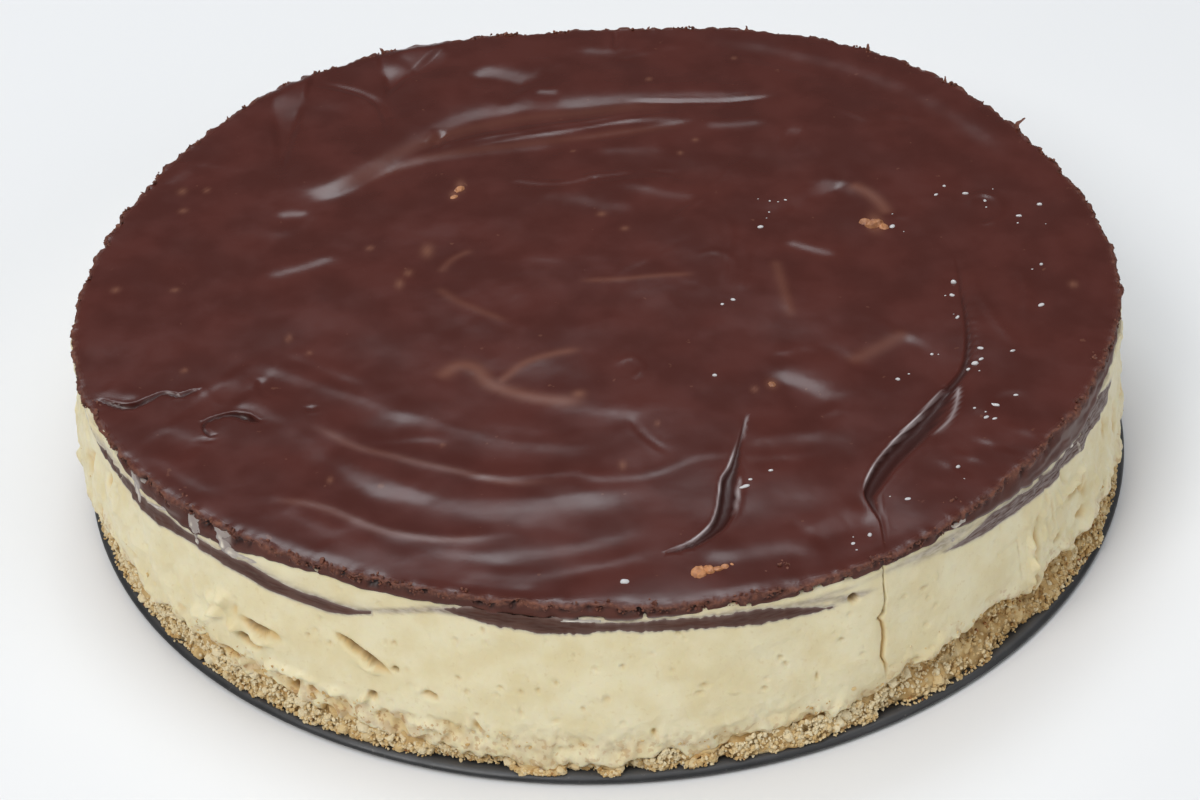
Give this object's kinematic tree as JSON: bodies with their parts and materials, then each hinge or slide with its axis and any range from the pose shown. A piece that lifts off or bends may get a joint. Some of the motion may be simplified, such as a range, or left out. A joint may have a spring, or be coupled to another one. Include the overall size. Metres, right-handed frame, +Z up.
{
  "type": "ice cream cake",
  "caption": "Round ice cream cake on its tin's base plate: crumb base, pale ice cream, swirled dark chocolate top and chocolate streaks in the side.",
  "frame": {"origin": "middle of the tin base's underside, on the surface that it stands on", "axes": "+Z up, through the layers; -Y towards the front of the cake, +X to its right"},
  "size_m": [0.2487, 0.248, 0.0447],
  "materials": {
    "dark_metal": "dark grey non-stick coating, satin",
    "crumbs": "golden biscuit crumbs, rough and matte",
    "ice_cream": "pale cream-yellow ice cream, softly moist",
    "chocolate": "dark brown poured chocolate, glossy on top and matte where it was cut"
  },
  "bodies": {
    "root": {"tin_base": "dark_metal", "crumb_base": "crumbs", "ice_cream": "ice_cream", "chocolate_top": "chocolate", "chocolate_lens_left": "chocolate", "chocolate_lens_front": "chocolate", "chocolate_lens_right": "chocolate"}
  },
  "joints": []
}
